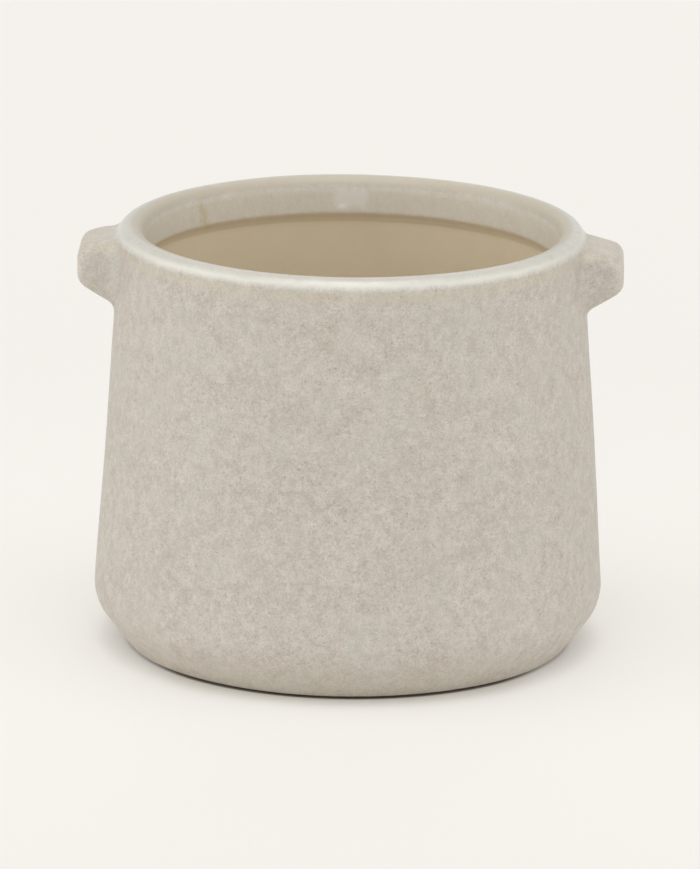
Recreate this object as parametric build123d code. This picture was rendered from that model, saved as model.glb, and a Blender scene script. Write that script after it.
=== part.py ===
from build123d import *
import math
import os

# Sizes of the whole pot, in millimetres, measured over the glaze. The wall leans in from the heel
# to the collar, and the two are blended over collar_blend_length each way.
pot_height = 120.0
mouth_diameter = 116.0
lip_thickness = 8.2
lip_round = 4.0
collar_height = 18.0
collar_blend_length = 4.0
heel_diameter = 144.6
heel_height = 13.0
heel_round = 11.0
foot_diameter = 124.8
wall_thickness = 6.2
floor_thickness = 7.0
floor_corner_round = 8.0
flat_between_rounds = 0.2

# Thicker band inside the rim, and the small ledge under it
band_height = 9.8
ledge_slope_height = 0.8
ledge_round = 0.6

# Foot ring of bare clay
foot_edge_round = 1.0
foot_ring_width = 7.0
foot_recess_depth = 2.0
foot_recess_round = 1.2
bare_foot_height = 0.8

# Glaze coats
outer_glaze_thickness = 0.5
liner_glaze_thickness = 0.4

# Lugs, measured over the glaze
lug_reach = 10.5
lug_width = 25.6
lug_top_drop = 3.4
lug_root_height = 18.4
lug_end_drop = 2.7
lug_end_height = 9.4
lug_round = 4.0
lug_root_round = 2.4

# Seat of each lug in the wall, and the slip that fills it
seat_depth = 1.2
slip_film = 0.3
slip_width = 1.2

# Cutting shapes run this far past what they cut
overrun = 5.0

# Worked out from the sizes above
mouth_radius = mouth_diameter / 2
collar_radius = mouth_radius + lip_thickness
collar_bottom = pot_height - collar_height
heel_radius = heel_diameter / 2
foot_radius = foot_diameter / 2
wall_lean = (heel_radius - collar_radius) / (collar_bottom - heel_height)
lower_lean = (heel_radius - foot_radius) / heel_height
wall_stretch = math.hypot(1, wall_lean)
lower_stretch = math.hypot(1, lower_lean)
collar_blend = collar_blend_length / math.tan(math.atan(wall_lean) / 2)
band_bottom = pot_height - band_height
ledge_bottom = band_bottom - ledge_slope_height
clay_depth = outer_glaze_thickness


def wall_radius(height, depth):
    """Radius of the straight wall at a height, depth below its glazed surface."""
    return heel_radius - (height - heel_height) * wall_lean - depth * wall_stretch


def lower_radius(height, depth):
    """Radius of the slanted lower wall at a height, depth below its glazed surface."""
    return foot_radius + height * lower_lean - depth * lower_stretch


def heel_corner(depth):
    """Point where the two walls meet, depth below the glazed surface."""
    rise = depth * (lower_stretch - wall_stretch) / (wall_lean + lower_lean)
    height = heel_height + rise
    return (wall_radius(height, depth), height)


def floor_round(depth):
    """Round where the floor meets the wall, depth below the glaze.

    It is as large as the short stretch of wall between it and the heel's inner round allows.
    """
    across = wall_thickness - depth
    corner_radius, corner_height = heel_corner(across)
    short_wall = (corner_height - floor_thickness + depth) * lower_stretch
    heel_turn = math.atan(wall_lean) + math.atan(lower_lean)
    heel_taken = abs((heel_round - across) * math.tan(heel_turn / 2))
    floor_turn = math.pi / 2 - math.atan(lower_lean)
    largest = (short_wall - heel_taken - flat_between_rounds) / math.tan(floor_turn / 2)
    return min(floor_corner_round + depth, largest)


def turned(corners):
    """Solid turned about Z from a closed outline of (radius, height, corner round).

    The outline stands in the YZ plane, so the surfaces' seam is at the back, clear of the lugs.
    """
    points = [(radius, height) for radius, height, corner_round in corners]
    rounds = [corner_round for radius, height, corner_round in corners]
    face = make_face(Plane.YZ * FilletPolyline(*points, radius=rounds, close=True))
    return revolve(face, Axis.Z)


def outside(depth):
    """Outline of the pot's outside from the foot to the top of the lip, depth below the glaze."""
    return [
        (lower_radius(0, depth), 0, foot_edge_round),
        (*heel_corner(depth), heel_round - depth),
        (collar_radius - depth, collar_bottom, abs(collar_blend + depth)),
        (collar_radius - depth, pot_height - depth, lip_round - depth),
    ]


def filled_pot(depth):
    """The pot's outer shape with no hollow, depth below the glaze."""
    return turned(outside(depth) + [(0, pot_height - depth, 0), (0, 0, 0)])


def hollow_pot(outer_depth, inner_depth):
    """Wall and floor, with the outside and rim at one depth and the inside at another."""
    across = wall_thickness - inner_depth
    floor_top = floor_thickness - inner_depth
    recess_radius = lower_radius(0, outer_depth) - foot_ring_width
    inside = [
        (mouth_radius + outer_depth, pot_height - outer_depth, lip_round - outer_depth),
        (mouth_radius + outer_depth, band_bottom + outer_depth, ledge_round),
        (wall_radius(ledge_bottom, across), ledge_bottom + outer_depth, ledge_round),
        (*heel_corner(across), heel_round - across),
        (lower_radius(floor_top, across), floor_top, floor_round(inner_depth)),
        (0, floor_top, 0),
    ]
    underside = [
        (0, foot_recess_depth, 0),
        (recess_radius, foot_recess_depth, foot_recess_round),
        (recess_radius, 0, 0),
    ]
    return turned(outside(outer_depth) + inside + underside)


def lug_block(side, depth):
    """A lug's whole block, depth below the glaze, with its back left inside the wall."""
    top = pot_height - lug_top_drop
    root = wall_radius(top - lug_root_height, 0)
    end = collar_radius + lug_reach
    back = root - wall_thickness / 2
    top_slope = lug_end_drop / (end - root)
    bottom_slope = (lug_root_height - lug_end_drop - lug_end_height) / (end - root)
    top_skin = depth * math.hypot(1, top_slope)
    bottom_skin = depth * math.hypot(1, bottom_slope)
    half_width = lug_width / 2 - depth

    def top_at(x):
        return top - (x - root) * top_slope - top_skin

    def bottom_at(x):
        return top - lug_root_height + (x - root) * bottom_slope + bottom_skin

    tip = end - depth
    outline = [(back, top_at(back)), (tip, top_at(tip)), (tip, bottom_at(tip)), (back, bottom_at(back))]
    face = make_face(Plane.XZ * Polyline(*outline, close=True))
    block = extrude(face, amount=half_width, both=True)
    back_edges = block.faces().sort_by(Axis.X).first.edges()
    free_edges = [edge for edge in block.edges() if edge not in back_edges]
    block = fillet(free_edges, lug_round - depth)
    return block if side == "right" else Rot(0, 0, 180) * block


def with_lugs(pot, depth):
    """A pot with both lug blocks grown into it and their roots rounded."""
    for side in ("left", "right"):
        block = lug_block(side, depth)
        joined = pot + block
        root_edges = new_edges(pot, block, combined=joined)
        pot = fillet(root_edges, lug_root_round + depth)
    return pot


def seat(side):
    """Room for a lug and the slip round it, down to the floor of its shallow seat in the wall."""
    return lug_block(side, clay_depth - slip_width) - filled_pot(clay_depth + seat_depth)


def lug(side):
    """A lug of clay, its back curved to sit on the floor of its seat with slip between."""
    return lug_block(side, clay_depth) - filled_pot(clay_depth + seat_depth - slip_film)


def inside_under_ledge():
    """Space from the middle of the wall and floor inwards, up to the ledge under the rim band."""
    half_wall = wall_thickness / 2
    half_floor = floor_thickness / 2
    return turned(
        [
            (0, half_floor, 0),
            (lower_radius(half_floor, half_wall), half_floor, 0),
            (*heel_corner(half_wall), 0),
            (wall_radius(ledge_bottom, half_wall), ledge_bottom, 0),
            (0, ledge_bottom, 0),
        ]
    )


def foot_wipe():
    """Slab at the foot that is wiped clean of glaze before firing."""
    return Pos(0, 0, bare_foot_height / 2) * Cylinder(heel_radius + overrun, bare_foot_height)


def pieces():
    """Every piece of the pot by name."""
    clay = with_lugs(hollow_pot(clay_depth, liner_glaze_thickness), clay_depth)
    glaze = with_lugs(hollow_pot(0, 0), 0) - clay
    named = {"clay_body": clay - seat("left") - seat("right")}
    for side in ("left", "right"):
        named[side + "_lug"] = lug(side)
        named[side + "_lug_slip"] = (clay & seat(side)) - lug(side)
    named["outer_glaze"] = glaze - inside_under_ledge() - foot_wipe()
    named["liner_glaze"] = glaze & inside_under_ledge()
    return named


os.makedirs("parts", exist_ok=True)
for name, piece in pieces().items():
    piece.label = name
    export_step(piece, "parts/" + name + ".step")
    print(name, len(piece.solids()), round(piece.volume, 1), piece.is_valid)
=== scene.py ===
import math
import bmesh
import bpy
from mathutils import Matrix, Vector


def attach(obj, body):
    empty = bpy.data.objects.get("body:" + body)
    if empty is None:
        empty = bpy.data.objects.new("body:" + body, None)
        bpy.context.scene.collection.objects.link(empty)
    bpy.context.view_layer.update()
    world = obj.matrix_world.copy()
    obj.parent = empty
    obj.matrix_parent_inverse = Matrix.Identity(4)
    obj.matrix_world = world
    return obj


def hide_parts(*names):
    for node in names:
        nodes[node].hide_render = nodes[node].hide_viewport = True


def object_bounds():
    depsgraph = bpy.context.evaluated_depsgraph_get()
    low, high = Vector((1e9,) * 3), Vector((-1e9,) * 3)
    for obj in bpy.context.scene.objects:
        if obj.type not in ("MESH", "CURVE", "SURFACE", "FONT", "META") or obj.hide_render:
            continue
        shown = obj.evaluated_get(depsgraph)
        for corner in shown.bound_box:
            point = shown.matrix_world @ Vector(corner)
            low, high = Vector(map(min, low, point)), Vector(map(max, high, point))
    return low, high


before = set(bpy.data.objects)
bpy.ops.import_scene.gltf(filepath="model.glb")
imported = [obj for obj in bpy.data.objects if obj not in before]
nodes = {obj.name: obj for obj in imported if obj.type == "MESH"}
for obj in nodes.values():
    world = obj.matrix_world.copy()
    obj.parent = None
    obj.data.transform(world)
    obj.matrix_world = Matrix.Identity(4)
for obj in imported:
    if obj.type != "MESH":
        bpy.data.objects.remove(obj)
cad_low, cad_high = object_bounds()


# Clay body and lugs
# The pot and its two lugs are buff stoneware, cast and luted together, then fired. Glaze covers
# them all over but for the foot, where the bare clay shows as a narrow ring and its recess.
class Signal:
    """A value that runs through the nodes of a finish, so that sums on it read as sums."""

    def __init__(self, finish, socket):
        self.finish = finish
        self.socket = socket

    def math(self, operation, *values):
        return self.finish.node("ShaderNodeMath", {"operation": operation}, dict(enumerate(values)))

    def __add__(self, other):
        return self.math("ADD", self, other)

    def __radd__(self, other):
        return self.math("ADD", other, self)

    def __sub__(self, other):
        return self.math("SUBTRACT", self, other)

    def __rsub__(self, other):
        return self.math("SUBTRACT", other, self)

    def __mul__(self, other):
        return self.math("MULTIPLY", self, other)

    def __rmul__(self, other):
        return self.math("MULTIPLY", other, self)

    def __pow__(self, other):
        return self.math("POWER", self, other)

    def __abs__(self):
        return self.math("ABSOLUTE", self)


class Finish:
    """The nodes of one finish. Its patterns read their place from the object's own coordinates."""

    def __init__(self, tree):
        self.tree = tree
        self.tree.nodes.clear()

    def node(self, kind, settings=None, sockets=None, output=0):
        """Adds a node, and gives the signal that leaves it."""
        made = self.tree.nodes.new(kind)
        for name, value in (settings or {}).items():
            setattr(made, name, value)
        for name, value in (sockets or {}).items():
            if isinstance(value, Signal):
                self.tree.links.new(value.socket, made.inputs[name])
            else:
                made.inputs[name].default_value = value
        return Signal(self, made.outputs[output]) if made.outputs else None

    def place(self):
        return self.node("ShaderNodeTexCoord", output="Object")

    def along(self, axis):
        return self.node("ShaderNodeSeparateXYZ", sockets={0: self.place()}, output=axis)

    def from_axis(self):
        """Distance from the pot's axis."""
        flat = self.node(
            "ShaderNodeVectorMath", {"operation": "MULTIPLY"}, {0: self.place(), 1: (1, 1, 0)}
        )
        return self.node("ShaderNodeVectorMath", {"operation": "LENGTH"}, {0: flat}, output="Value")

    def cloud(self, grain, detail=2.0, roughness=0.5, shift=0.0):
        """Soft random patches whose size is about grain, from 0 to 1 with a middle of 0.5.

        Each shift gives other patches of the same kind.
        """
        shifted = {0: self.place(), 1: (shift, shift, shift)}
        place = self.node("ShaderNodeVectorMath", {"operation": "ADD"}, shifted)
        return self.node(
            "ShaderNodeTexNoise",
            {"normalize": True},
            {"Vector": place, "Scale": 1 / grain, "Detail": detail, "Roughness": roughness},
        )

    def rise(self, value, low, high, start=0.0, end=1.0):
        """Goes smoothly from start to end while value goes from low to high."""
        return self.node(
            "ShaderNodeMapRange",
            {"interpolation_type": "SMOOTHSTEP"},
            {"Value": value, "From Min": low, "From Max": high, "To Min": start, "To Max": end},
        )

    def fall(self, value, low, high):
        """Goes smoothly from 1 to 0 while value goes from low to high."""
        return self.rise(value, low, high, 1.0, 0.0)

    def within(self, value, middle, half_width, soft):
        """1 within half_width of the middle, fading out over soft."""
        return self.fall(abs(value - middle), half_width - soft / 2, half_width + soft / 2)

    def blend(self, share, under, over):
        """One colour over another by a share from 0 to 1."""
        sockets = {0: share, 6: under, 7: over}
        return self.node("ShaderNodeMix", {"data_type": "RGBA"}, sockets, output=2)

    def relief(self, height, depth):
        """Normals of a surface that stands up by depth where height is 1."""
        return self.node(
            "ShaderNodeBump", sockets={"Height": height, "Distance": depth, "Strength": 1.0}
        )

    def fire(self, colour, roughness, normal, **fixed):
        """The fired surface itself, as the finish's output."""
        sockets = {"Base Color": colour, "Roughness": roughness, "Normal": normal}
        sockets.update(fixed)
        surface = self.node("ShaderNodeBsdfPrincipled", sockets=sockets)
        self.node("ShaderNodeOutputMaterial", sockets={"Surface": surface})


def new_finish(name):
    material = bpy.data.materials.new(name)
    material.use_nodes = True
    return material, Finish(material.node_tree)


def wear(piece, material):
    """Gives every slot of a piece one material."""
    if not piece.data.materials:
        piece.data.materials.append(material)
    for slot in piece.material_slots:
        slot.material = material


def stoneware(name, light, dark, grog_size):
    """Unglazed fired clay, dry and slightly sandy, with small dark grog and a dark foot edge,
    partly clay darkened in the firing and partly painted contact shadow.
    """
    material, finish = new_finish(name)
    grog_brown = (0.16, 0.11, 0.07, 1.0)
    toast_and_shadow_brown = (0.11, 0.075, 0.045, 1.0)
    patches = finish.cloud(0.009, detail=3.0)
    sand = finish.cloud(0.0006, detail=2.0, roughness=0.7)
    grog = finish.rise(finish.cloud(grog_size, shift=3.0), 0.62, 0.70)
    foot_edge = finish.rise(finish.from_axis(), 0.0605, 0.0615)
    # The foot edge is darkened, partly as clay darkened in the firing and partly as painted contact
    # shadow.
    toasted_and_shaded = foot_edge * finish.fall(finish.along("Z"), 0.001, 0.002)
    colour = finish.blend(finish.rise(patches, 0.3, 0.7), light, dark)
    colour = finish.blend(grog * 0.55, colour, grog_brown)
    colour = finish.blend(toasted_and_shaded * 0.9, colour, toast_and_shadow_brown)
    roughness = finish.rise(sand, 0.2, 0.8, 0.78, 0.92)
    sand_depth = 0.00005
    finish.fire(colour, roughness, finish.relief(sand - grog * 0.5, sand_depth), IOR=1.45)
    return material


bare_clay = stoneware("bare_clay", (0.56, 0.46, 0.34, 1.0), (0.44, 0.35, 0.25, 1.0), 0.0013)
for name in ("clay_body", "left_lug", "right_lug"):
    wear(nodes[name], bare_clay)


# Slip joints
# Each lug is stuck into its shallow seat with slip, the same clay thinned with water. It fires a
# little darker and smoother than the body, and glaze covers it.
slip = stoneware("slip", (0.50, 0.41, 0.31, 1.0), (0.42, 0.33, 0.25, 1.0), 0.0008)
for name in ("left_lug_slip", "right_lug_slip"):
    wear(nodes[name], slip)


# Outer glaze
# A satin coat of mottled beige glaze, dipped, over the outside, the lugs, the lip and the band
# inside the rim. It is wiped off the foot, and it is glossier over the lip, whose paler shoulder is
# partly glaze break and partly painted highlight.
merge_distance = 0.000001


def deselect():
    bpy.ops.object.select_all(action="DESELECT")


def pick(piece, kind, test):
    """Selects only the vertices, edges or faces of the mesh being edited that pass a test."""
    bpy.ops.mesh.select_mode(type=kind)
    bpy.ops.mesh.select_all(action="DESELECT")
    mesh = bmesh.from_edit_mesh(piece.data)
    elements = {"VERT": mesh.verts, "EDGE": mesh.edges, "FACE": mesh.faces}[kind]
    for element in elements:
        if test(element):
            element.select_set(True)
    bmesh.update_edit_mesh(piece.data)


def radius_of(point):
    return math.hypot(point.x, point.y)


def on_ring(edge, radius, height):
    """Whether an edge lies on the ring of that radius and height."""
    near = 0.00001
    return all(
        abs(vertex.co.z - height) < near and abs(radius_of(vertex.co) - radius) < near
        for vertex in edge.verts
    )


def turn_skin(name, start, corners, columns):
    """Skin of a turned shape, drawn up from a ring at start through each corner.

    A corner is (radius, height, round, segments), and the skin is rounded there by so many
    segments. The last corner ends the skin. The mesh is left in edit mode.
    """
    deselect()
    bpy.ops.mesh.primitive_circle_add(vertices=columns, radius=start[0], location=(0, 0, start[1]))
    skin = bpy.context.object
    skin.name = name
    bpy.ops.object.transform_apply(location=True, rotation=True, scale=True)
    bpy.ops.object.mode_set(mode="EDIT")
    bpy.ops.mesh.select_all(action="SELECT")
    points = [start] + [(radius, height) for radius, height, _, _ in corners]
    for (near, low), (far, high) in zip(points, points[1:]):
        bpy.ops.mesh.extrude_region_move(TRANSFORM_OT_translate={"value": (0, 0, high - low)})
        bpy.ops.transform.resize(value=(far / near, far / near, 1), center_override=(0, 0, high))
    for index, (radius, height, corner_round, segments) in enumerate(corners[:-1], start=1):
        if not corner_round:
            continue
        before, here, after = points[index - 1], points[index], points[index + 1]
        arriving = math.atan2(here[1] - before[1], here[0] - before[0])
        leaving = math.atan2(after[1] - here[1], after[0] - here[0])
        turn = abs(math.remainder(leaving - arriving, math.tau))
        pick(skin, "EDGE", lambda edge: on_ring(edge, radius, height))
        bpy.ops.mesh.bevel(
            offset=corner_round * math.tan(turn / 2),
            segments=segments,
            profile=0.5,
            affect="EDGES",
            clamp_overlap=False,
        )
    return skin


def divide_rows(skin, low, high, cuts, inside=False):
    """Divides the long upright edges between two heights, outside the wall or inside it."""
    slack = 0.0005
    shortest = 0.002

    def chosen(edge):
        bottom, top = sorted(vertex.co.z for vertex in edge.verts)
        if top - bottom < shortest or bottom < low - slack or top > high + slack:
            return False
        face = edge.link_faces[0]
        middle = face.calc_center_median()
        outward = face.normal.x * middle.x + face.normal.y * middle.y
        return (outward < 0) == inside

    pick(skin, "EDGE", chosen)
    bpy.ops.mesh.subdivide(number_cuts=cuts)


def blend_round(before, here, after, length):
    """Radius that rounds the corner here over a length each way."""
    arriving = math.atan2(here[1] - before[1], here[0] - before[0])
    leaving = math.atan2(after[1] - here[1], after[0] - here[0])
    return length / math.tan(abs(leaving - arriving) / 2)


pot_height = cad_high.z
lip_radius = 0.0662
mouth_radius = 0.0580
lip_round = 0.0040
collar_bottom = 0.1020
collar_blend = 0.0040
wall_hollow = 0.00010
hollow_height = 0.0730
hollow_blend = 0.0240
heel_radius = 0.0723
heel_height = 0.0130
heel_round = 0.0110
heel_round_low = 0.0097
heel_round_high = 0.0171
foot_radius = 0.0624
glaze_edge_height = 0.0008
band_bottom = 0.1096
ledge_bottom = 0.1068
ledge_round = 0.0016
glaze_line = 0.1081
inner_wall_radius = 0.05956
coat_thickness = 0.00042
columns = 128

wall_lean = (heel_radius - lip_radius) / (collar_bottom - heel_height)
lower_lean = (heel_radius - foot_radius) / heel_height
hollow_radius = heel_radius - (hollow_height - heel_height) * wall_lean - wall_hollow
hollow_low, hollow_high = hollow_height - hollow_blend, hollow_height + hollow_blend
ledge_lean = (inner_wall_radius - mouth_radius) / (band_bottom - ledge_bottom)
line_radius = mouth_radius + (band_bottom - glaze_line) * ledge_lean
heel, hollow = (heel_radius, heel_height), (hollow_radius, hollow_height)
collar, lip_edge = (lip_radius, collar_bottom), (lip_radius, pot_height)
outer_glaze = turn_skin(
    "glaze_coat",
    (foot_radius + glaze_edge_height * lower_lean, glaze_edge_height),
    [
        (*heel, heel_round, 5),
        (*hollow, blend_round(heel, hollow, collar, hollow_blend), 4),
        (*collar, blend_round(hollow, collar, lip_edge, collar_blend), 2),
        (*lip_edge, lip_round, 6),
        (mouth_radius, pot_height, lip_round, 6),
        (mouth_radius, band_bottom, ledge_round, 3),
        (line_radius, glaze_line, 0, 0),
    ],
    columns,
)
bpy.ops.mesh.select_all(action="SELECT")
bpy.ops.mesh.normals_make_consistent(inside=False)
divide_rows(outer_glaze, 0.0, heel_round_low, 2)
divide_rows(outer_glaze, heel_round_high, hollow_low, 7)
divide_rows(outer_glaze, hollow_low, hollow_high, 2)
divide_rows(outer_glaze, collar_bottom + collar_blend, pot_height - lip_round, 2)
divide_rows(outer_glaze, band_bottom, pot_height - lip_round, 1, inside=True)

# The lugs are drawn out of the wall as blocks, then settled onto the clay under them
lug_bottom = 0.0979
lug_top = 0.1161
lug_half_angle = math.radians(11.3)
lug_half_width = 0.0128
lug_end = 0.0767
lug_end_top = 0.1139
lug_end_bottom = 0.1045
lug_middle = (lug_top + lug_bottom) / 2


def draw_out_lug(side):
    """Draws one lug out of the wall, its end flat and smaller than its root."""
    end_share = (lug_end_top - lug_end_bottom) / (lug_top - lug_bottom)
    end_middle = (lug_end_top + lug_end_bottom) / 2
    shortest = 0.006
    near_end = 0.076

    def footprint(face):
        middle = face.calc_center_median()
        if not lug_bottom < middle.z < lug_top or radius_of(middle) < lip_radius - lip_round:
            return False
        return middle.x * side > 0 and abs(math.atan2(middle.y, middle.x * side)) < lug_half_angle

    def runs_outward(edge):
        one, other = (abs(vertex.co.x) for vertex in edge.verts)
        return abs(one - other) > shortest and max(one, other) > near_end

    pick(outer_glaze, "FACE", footprint)
    reach = side * (lug_end - lip_radius)
    bpy.ops.mesh.extrude_region_move(TRANSFORM_OT_translate={"value": (reach, 0, 0)})
    end_centre = (side * lug_end, 0, lug_middle)
    bpy.ops.transform.resize(value=(0, 1, end_share), center_override=end_centre)
    bpy.ops.transform.translate(value=(0, 0, end_middle - lug_middle))
    pick(outer_glaze, "EDGE", runs_outward)
    bpy.ops.mesh.subdivide(number_cuts=2)


draw_out_lug(1)
draw_out_lug(-1)
bpy.ops.mesh.select_all(action="SELECT")
bpy.ops.mesh.remove_doubles(threshold=merge_distance)
bpy.ops.object.mode_set(mode="OBJECT")


def add(piece, name, kind, **settings):
    """Adds a modifier to a piece and applies it."""
    modifier = piece.modifiers.new(name, kind)
    for setting, value in settings.items():
        setattr(modifier, setting, value)
    deselect()
    bpy.context.view_layer.objects.active = piece
    piece.select_set(True)
    bpy.ops.object.modifier_apply(modifier=modifier.name)


def smooth(piece):
    """Shades a piece smooth, but for its sharp edges."""
    sharp_angle = math.radians(50)
    deselect()
    piece.select_set(True)
    bpy.context.view_layer.objects.active = piece
    bpy.ops.object.shade_smooth_by_angle(angle=sharp_angle)


def pot_clay():
    """A merged copy of the clay, for the glaze to settle on."""
    deselect()
    for node_name in ("clay_body", "left_lug", "right_lug", "left_lug_slip", "right_lug_slip"):
        nodes[node_name].select_set(True)
    bpy.context.view_layer.objects.active = nodes["clay_body"]
    bpy.ops.object.duplicate()
    bpy.ops.object.join()
    clay = bpy.context.object
    bpy.ops.object.mode_set(mode="EDIT")
    bpy.ops.mesh.select_all(action="SELECT")
    bpy.ops.mesh.remove_doubles(threshold=merge_distance)
    bpy.ops.object.mode_set(mode="OBJECT")
    return clay


def weigh(piece, name, weight_of):
    """A vertex group whose weight at each vertex comes from weight_of, where that is above 0."""
    group = piece.vertex_groups.new(name=name)
    for vertex in piece.data.vertices:
        weight = weight_of(vertex.co)
        if weight > 0:
            group.add([vertex.index], weight, "REPLACE")


def near_a_lug(point):
    """Strength 1 on a lug and on the wall round it, and 0 elsewhere."""
    low, high, half_width, least_radius = 0.0925, 0.1195, 0.0185, 0.0635
    beside = low < point.z < high and abs(point.y) < half_width
    return 1.0 if beside and radius_of(point) > least_radius else 0.0


def at_a_root(point):
    """Strongest in the corner between a lug and the wall, and gone at root_reach from it."""
    root_reach = 0.0040
    if not near_a_lug(point):
        return 0
    beside = max(abs(point.y) - lug_half_width, point.z - lug_top, lug_bottom - point.z, 0)
    off_corner = max(beside, radius_of(point) - lip_radius, 0)
    return max(0, 1 - off_corner / root_reach)


def pull(chosen, shift, reach):
    """Moves some vertices of the glaze, and carries those within reach of them along."""
    deselect()
    bpy.context.view_layer.objects.active = outer_glaze
    outer_glaze.select_set(True)
    bpy.ops.object.mode_set(mode="EDIT")
    pick(outer_glaze, "VERT", lambda vertex: chosen(vertex.co))
    bpy.ops.transform.translate(
        value=shift,
        use_proportional_edit=True,
        proportional_edit_falloff="SMOOTH",
        proportional_size=reach,
    )
    bpy.ops.object.mode_set(mode="OBJECT")


def stretch_lug(side, top_rise, bottom_drop):
    """Lifts the top of one lug and lowers its underside."""
    free, core, reach = 0.0690, 0.0035, 0.0060
    top, bottom = lug_middle + core, lug_middle - core
    pull(lambda point: point.x * side > free and point.z > top, (0, 0, top_rise), reach)
    pull(lambda point: point.x * side > free and point.z < bottom, (0, 0, -bottom_drop), reach)


add(outer_glaze, "soften", "SUBSURF", levels=1, render_levels=1)
weigh(outer_glaze, "lugs", near_a_lug)
weigh(outer_glaze, "roots", at_a_root)
clay = pot_clay()
glaze_thickness = 0.0005
add(
    outer_glaze,
    "settle",
    "SHRINKWRAP",
    target=clay,
    wrap_method="NEAREST_SURFACEPOINT",
    wrap_mode="ABOVE_SURFACE",
    offset=glaze_thickness,
    vertex_group="lugs",
)

# No two places are quite alike: the left lug is a little taller, the right one's top
# slopes down a little further, and the middle of the wall leans a hair to the right
stretch_lug(-1, 0.00045, 0.00035)
stretch_lug(1, -0.00030, 0.00010)
lean, lean_height, lean_half_height, lean_reach = 0.00022, 0.0570, 0.0030, 0.0330
pull(lambda point: abs(point.z - lean_height) < lean_half_height, (lean, 0, 0), lean_reach)

# The glaze melts over edges, gathers in the roots, and swells a little here and there, but is
# nowhere thinner than least_thickness over the clay of the lugs
swell_size, swell_height, least_thickness = 0.045, 0.00025, 0.00018
add(outer_glaze, "melt", "SMOOTH", factor=0.5, iterations=2, vertex_group="lugs")
add(outer_glaze, "wipe the roots", "SMOOTH", factor=0.6, iterations=22, vertex_group="roots")
swell = bpy.data.textures.new("swell", "CLOUDS")
swell.noise_scale = swell_size
add(
    outer_glaze,
    "hand",
    "DISPLACE",
    texture=swell,
    texture_coords="LOCAL",
    strength=swell_height,
    mid_level=0.5,
)
add(
    outer_glaze,
    "clear the clay",
    "SHRINKWRAP",
    target=clay,
    wrap_method="NEAREST_SURFACEPOINT",
    wrap_mode="OUTSIDE",
    offset=least_thickness,
    vertex_group="lugs",
)
bpy.data.objects.remove(clay)
add(outer_glaze, "coat", "SOLIDIFY", thickness=coat_thickness, offset=-1.0, use_even_offset=True)
smooth(outer_glaze)


def mottle(finish, patches, grain, specks):
    """Beige ground with taupe mottling in three sizes, cooler or warmer by how thick it ran."""
    beige, taupe = (0.640, 0.588, 0.526, 1.0), (0.405, 0.364, 0.309, 1.0)
    speck_brown, cluster_brown = (0.28, 0.24, 0.19, 1.0), (0.34, 0.30, 0.24, 1.0)
    grey_green, tan = (0.530, 0.525, 0.460, 1.0), (0.520, 0.445, 0.360, 1.0)
    straw = (0.640, 0.585, 0.465, 1.0)
    drift = finish.cloud(0.030, detail=2.0, shift=7.0)
    clusters = finish.rise(finish.cloud(0.0030, detail=4.0, roughness=0.7, shift=31.0), 0.60, 0.76)
    cool = finish.rise(finish.cloud(0.014, detail=3.0, shift=13.0), 0.45, 0.60)
    warm = finish.rise(finish.cloud(0.011, detail=3.0, shift=17.0), 0.55, 0.68)
    low_wall = finish.fall(finish.along("Z"), 0.002, 0.013)
    darker = finish.rise(patches + (drift - 0.5) * 0.06 + (grain - 0.5) * 0.75, 0.20, 0.80)
    colour = finish.blend(darker, beige, taupe)
    colour = finish.blend(specks * 0.50, colour, speck_brown)
    colour = finish.blend(clusters * 0.32, colour, cluster_brown)
    colour = finish.blend(cool * 0.26, colour, grey_green)
    colour = finish.blend(warm * 0.14, colour, tan)
    return finish.blend(low_wall * 0.20, colour, straw)


def glaze_band(finish, colour, inside):
    """Thicker glaze on the band inside the rim, painted paler: painted light for the light it
    catches.

    At the back it has a pale patch with a painted highlight at its lower left, and at the left of
    it a thin tan run of the liner glaze. It ends in a tan line at the ledge, partly pooled glaze
    and partly painted shade under the ledge.
    """
    painted_light_cream, line_and_shade_tan = (0.790, 0.745, 0.640, 1.0), (0.640, 0.510, 0.330, 1.0)
    patch_white, bright = (0.800, 0.780, 0.740, 1.0), (0.900, 0.880, 0.830, 1.0)
    run_tan = (0.560, 0.465, 0.270, 1.0)
    across, height = finish.along("X"), finish.along("Z")
    # The band is painted paler: painted light for the light it catches.
    band = inside * finish.fall(height, 0.1160, 0.1185)
    at_back = finish.rise(finish.along("Y"), 0.010, 0.012) * band
    waver = (finish.cloud(0.0035, detail=3.0, shift=21.0) - 0.5) * 0.0035
    # A pale patch with soft, wavering edges at the back of the band.
    pale_patch = finish.within(across + waver, -0.0020, 0.0046, 0.0022)
    pale_patch = pale_patch * finish.within(height + waver, 0.1137, 0.0025, 0.0022)
    # Painted highlight: a small bright glint at the lower left of the pale patch.
    painted_glint = finish.within(across + waver, -0.0043, 0.0010, 0.0016)
    painted_glint = painted_glint * finish.within(height, 0.1116, 0.0006, 0.0014)
    slant = (height - 0.1140) * 0.22
    bend = (finish.cloud(0.0024, detail=2.0, shift=23.0) - 0.5) * 0.0060
    run = finish.within(across + slant + bend, -0.0437, 0.0007, 0.0018)
    # The tan line at the band's lower end is partly pooled glaze and partly painted shade under the
    # ledge.
    line_and_shade = inside * finish.fall(height + waver * 0.15, 0.1089, 0.1105)
    colour = finish.blend(band * 0.55, colour, painted_light_cream)
    colour = finish.blend(at_back * pale_patch * 0.55, colour, patch_white)
    colour = finish.blend(at_back * painted_glint * 0.7, colour, bright)
    colour = finish.blend(at_back * run * 0.62, colour, run_tan)
    return finish.blend(line_and_shade * 0.55, colour, line_and_shade_tan)


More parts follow.
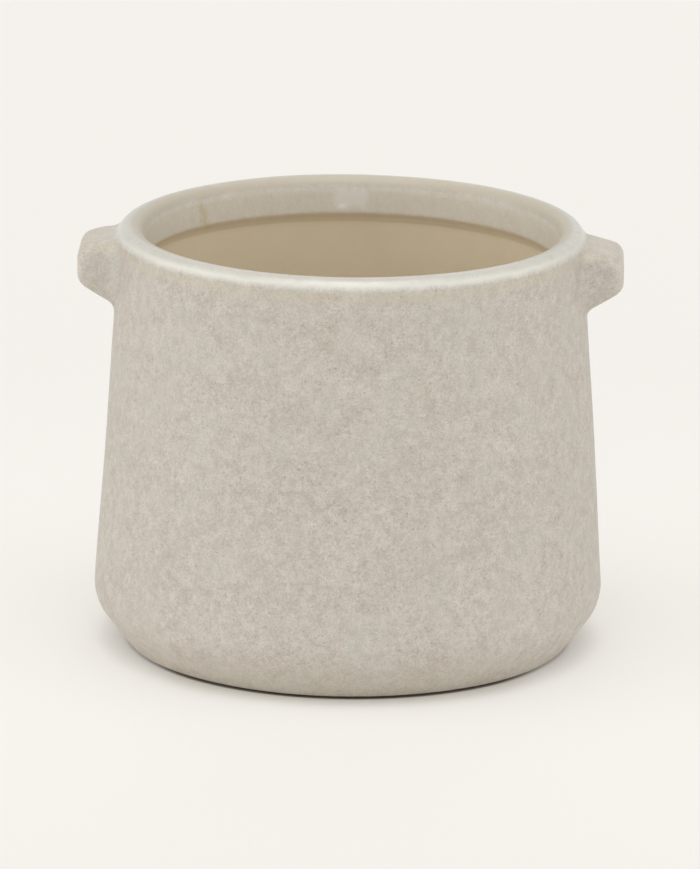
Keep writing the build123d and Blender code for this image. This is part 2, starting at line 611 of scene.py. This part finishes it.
def glaze_edges(finish, colour, inside, rim, flow):
    """Thin glaze, which breaks pale over the lip's outer shoulder, partly as a painted highlight,
    and over the lug ends. The rear crest is painted pale as a painted highlight.

    Elsewhere the lip is drab, with painted shade darker above the lugs, and browner on its inner
    side. The glaze is yellower just under it.
    """
    drab, shade_drab = (0.505, 0.478, 0.405, 1.0), (0.410, 0.395, 0.320, 1.0)
    brown = (0.520, 0.448, 0.340, 1.0)
    pale, highlight_grey = (0.845, 0.840, 0.770, 1.0), (0.800, 0.800, 0.735, 1.0)
    pale_tan, yellow = (0.720, 0.680, 0.560, 1.0), (0.560, 0.500, 0.360, 1.0)
    height, from_axis, sideways = finish.along("Z"), finish.from_axis(), abs(finish.along("X"))
    # Painted shade: the lip is painted darker above the lugs.
    shade_over_lugs = rim * finish.rise(sideways, 0.038, 0.058)
    inner_side = rim * finish.fall(from_axis, 0.0600, 0.0625)
    # The pale shoulder is partly glaze break and partly painted highlight.
    shoulder = finish.within(height + (flow - 0.5) * 0.0010, 0.1184, 0.0009, 0.0024)
    shoulder = shoulder * finish.rise(from_axis, 0.0622, 0.0642)
    # Painted highlight: the rear crest of the lip is painted pale.
    rear_crest_highlight = finish.rise(finish.along("Y"), 0.025, 0.050) * rim
    rear_crest_highlight = rear_crest_highlight * finish.rise(from_axis, 0.0618, 0.0632)
    lug_ends = finish.rise(sideways, 0.0745, 0.0763)
    under_lip = finish.within(height, 0.1150, 0.0013, 0.0022) * (1 - inside)
    colour = finish.blend(rim * 0.65, colour, drab)
    colour = finish.blend(shade_over_lugs * 0.55, colour, shade_drab)
    colour = finish.blend(inner_side * 0.60, colour, brown)
    colour = finish.blend(shoulder * 0.60, colour, pale)
    colour = finish.blend(rear_crest_highlight * 0.60, colour, highlight_grey)
    colour = finish.blend(lug_ends * 0.30, colour, pale_tan)
    return finish.blend(under_lip * 0.30, colour, yellow)


def mottled_glaze(name):
    """The whole outer finish: satin, mottled, a little pitted, and glossier over the lip."""
    material, finish = new_finish(name)
    from_axis = finish.from_axis()
    inside = finish.fall(from_axis, 0.0590, 0.0605)
    rim = finish.rise(finish.along("Z"), 0.1168, 0.1190)
    gloss = rim * finish.rise(from_axis, 0.0612, 0.0630)
    patches = finish.cloud(0.0034, detail=5.0, roughness=0.9)
    grain = finish.cloud(0.00042, detail=2.0, roughness=0.8, shift=1.0)
    specks = finish.rise(finish.cloud(0.0008, detail=2.0, shift=5.0), 0.60, 0.72)
    flow = finish.cloud(0.0045, detail=2.0, shift=25.0)
    colour = mottle(finish, patches, grain, specks)
    colour = glaze_band(finish, colour, inside)
    colour = glaze_edges(finish, colour, inside, rim, flow)
    roughness = finish.rise(patches, 0.3, 0.7, 0.44, 0.52) - gloss * 0.18
    pitted = (grain + specks * -0.5) * (1 - rim * 0.8)
    pit_depth = 0.00003
    normal = finish.relief(pitted + rim * flow * 3.0, pit_depth)
    coat = {"Coat Weight": gloss * 0.5, "Coat Roughness": 0.26}
    finish.fire(colour, roughness, normal, IOR=1.50, **coat)
    return material


wear(outer_glaze, mottled_glaze("outer_glaze"))
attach(outer_glaze, "root")
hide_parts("outer_glaze")


# Liner glaze
# A plain tan glaze poured inside and out again, over the inner wall and the floor up to the ledge
# under the rim band.
wall_thickness = 0.0062
floor_height = 0.0070
floor_round = 0.0080
ring_radii = (0.045, 0.030, 0.015, 0.003)
liner_thickness = 0.00032

wall_stretch, lower_stretch = math.hypot(1, wall_lean), math.hypot(1, lower_lean)
inner_heel_rise = wall_thickness * (lower_stretch - wall_stretch) / (wall_lean + lower_lean)
inner_heel_radius = heel_radius - inner_heel_rise * wall_lean - wall_thickness * wall_stretch
inner_foot_radius = foot_radius + floor_height * lower_lean - wall_thickness * lower_stretch
liner = turn_skin(
    "liner_coat",
    (line_radius, glaze_line),
    [
        (inner_wall_radius, ledge_bottom, ledge_round, 3),
        (inner_heel_radius, heel_height + inner_heel_rise, heel_round - wall_thickness, 4),
        (inner_foot_radius, floor_height, floor_round, 6),
        *((radius, floor_height, 0, 0) for radius in ring_radii),
    ],
    columns,
)
pick(liner, "EDGE", lambda edge: on_ring(edge, ring_radii[-1], floor_height))
bpy.ops.mesh.extrude_region_move()
bpy.ops.mesh.merge(type="CENTER")
bpy.ops.mesh.select_all(action="SELECT")
bpy.ops.mesh.remove_doubles(threshold=merge_distance)
bpy.ops.mesh.normals_make_consistent(inside=True)
divide_rows(liner, heel_height, ledge_bottom, 9, inside=True)
bpy.ops.object.mode_set(mode="OBJECT")
add(liner, "coat", "SOLIDIFY", thickness=liner_thickness, offset=-1.0, use_even_offset=True)
smooth(liner)


def plain_glaze(name):
    """Even tan glaze, finely grained, darker under the ledge, partly pooled glaze and partly
    painted shade.
    """
    material, finish = new_finish(name)
    light_tan, tan = (0.775, 0.683, 0.522, 1.0), (0.745, 0.655, 0.492, 1.0)
    grain_brown, pool_and_shade_brown = (0.560, 0.470, 0.340, 1.0), (0.600, 0.500, 0.330, 1.0)
    patches = finish.cloud(0.020, detail=3.0, roughness=0.6)
    grain = finish.cloud(0.0012, detail=2.0)
    # Darker just under the ledge: partly pooled glaze, partly painted shade.
    pool_and_shade = finish.rise(finish.along("Z") + (patches - 0.5) * 0.001, 0.1054, 0.1074)
    colour = finish.blend(finish.rise(patches, 0.3, 0.7), light_tan, tan)
    colour = finish.blend(grain * 0.12, colour, grain_brown)
    colour = finish.blend(pool_and_shade * 0.32, colour, pool_and_shade_brown)
    roughness = finish.rise(patches, 0.3, 0.7, 0.38, 0.46)
    grain_depth = 0.00001
    finish.fire(colour, roughness, finish.relief(grain, grain_depth), IOR=1.50)
    return material


wear(liner, plain_glaze("liner_glaze"))
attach(liner, "root")
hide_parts("liner_glaze")


# Floor, light and camera
# A pale table, lit from below but for the place where the pot stands, under a white tent: light
# comes from all round, most from above and a little more from the left. The camera stands where
# the photograph's did.
table_size = 30.0
table_glow = 0.350
deselect()
bpy.ops.mesh.primitive_plane_add(size=table_size, location=(0, 0, 0))
floor = bpy.context.object
floor.name = "floor"


def table_top(name):
    """Matt white table with a painted contact shadow just where the pot touches it, darkest in
    front and behind, and a little paler near the pot, painted light that fills the pot's shadow.
    """
    material, finish = new_finish(name)
    white, painted_contact_shadow = (0.880, 0.860, 0.820, 1.0), (0.300, 0.260, 0.210, 1.0)
    painted_fill_white, far_white = (0.525, 0.510, 0.485, 1.0), (0.496, 0.480, 0.455, 1.0)
    unlit, warm_white = (0.0, 0.0, 0.0, 1.0), (1.0, 0.975, 0.925, 1.0)
    from_axis = finish.from_axis()
    fibres = finish.cloud(0.004, detail=3.0)
    beside = finish.rise(abs(finish.along("X")), 0.040, 0.058)
    lit = finish.rise(from_axis + beside * 0.0070, 0.0632, 0.0820)
    # Painted contact shadow where the pot touches the table, weaker at the sides.
    contact_shadow_share = finish.fall(from_axis, 0.0626, 0.0636) * (1 - beside * 0.85)
    far = finish.rise(from_axis, 0.1000, 0.3500)
    colour = finish.blend(contact_shadow_share, white, painted_contact_shadow)
    # Painted light: the table is a little paler near the pot, fading out by 0.35 m from its axis,
    # filling the pot's shadow.
    colour = finish.blend(lit, colour, painted_fill_white)
    colour = finish.blend(far, colour, far_white)
    roughness = finish.rise(fibres, 0.2, 0.8, 0.90, 0.95)
    fibre_depth = 0.00002
    glow = {"Emission Color": finish.blend(lit, unlit, warm_white), "Emission Strength": table_glow}
    finish.fire(colour, roughness, finish.relief(fibres, fibre_depth), **glow)
    return material


wear(floor, table_top("table"))

world = bpy.data.worlds.new("tent")
bpy.context.scene.world = world
world.use_nodes = True
tent = Finish(world.node_tree)
direction = tent.node("ShaderNodeTexCoord", output="Generated")


def soft_box(toward, spread, strength):
    """Light from a soft patch of the tent round one direction, narrower as spread grows."""
    length = math.hypot(*toward)
    aim_at = tuple(part / length for part in toward)
    compared = {0: direction, 1: aim_at}
    facing = tent.node(
        "ShaderNodeVectorMath", {"operation": "DOT_PRODUCT"}, compared, output="Value"
    )
    return strength * facing.math("MAXIMUM", facing, 0.0) ** spread


overhead = soft_box((0, 0, 1), 24.0, 3.60)
high_front = soft_box((0, -0.36, 0.93), 24.0, 1.70)
key = soft_box((0, -0.60, 0.80), 8.0, 0.45)
left_panel = soft_box((-0.95, -0.10, 0.25), 6.0, 2.34)
right_panel = soft_box((0.95, -0.10, 0.25), 6.0, 1.96)
front_panel = soft_box((0, -0.97, 0.25), 6.0, 1.42)
rear = soft_box((0, 0.68, 0.73), 8.0, 0.80)
rear_panel = soft_box((0, 0.97, 0.25), 6.0, 0.80)
light = overhead + high_front + key + left_panel + right_panel + front_panel + rear + rear_panel
seen = tent.node("ShaderNodeLightPath", output="Is Camera Ray")
backdrop = 0.87
brightness = light * (1 - seen) + backdrop * seen
shine = {"Color": (1.0, 1.0, 1.0, 1.0), "Strength": brightness}
background = tent.node("ShaderNodeBackground", sockets=shine)
tent.node("ShaderNodeOutputWorld", sockets={"Surface": background})

camera_distance = 2.10588
camera_pitch = math.radians(15.115)
camera_roll = math.radians(0.669)
pot_turn = math.radians(1.604)
aim = (0.0002, 0, 0.058913)
frame_height = 869
focal_pixels = 7440.67
sensor_width = 36.0
farthest_seen = 50.0
bpy.ops.object.camera_add()
camera = bpy.context.object
camera.data.sensor_fit = "AUTO"
camera.data.sensor_width = sensor_width
camera.data.lens = focal_pixels / frame_height * sensor_width
camera.data.clip_end = farthest_seen
camera.matrix_world = (
    Matrix.Rotation(pot_turn, 4, "Z")
    @ Matrix.Translation(aim)
    @ Matrix.Rotation(math.pi / 2 - camera_pitch, 4, "X")
    @ Matrix.Rotation(camera_roll, 4, "Z")
    @ Matrix.Translation((0, 0, camera_distance))
)
bpy.context.scene.camera = camera
bpy.context.scene.view_settings.view_transform = "Standard"
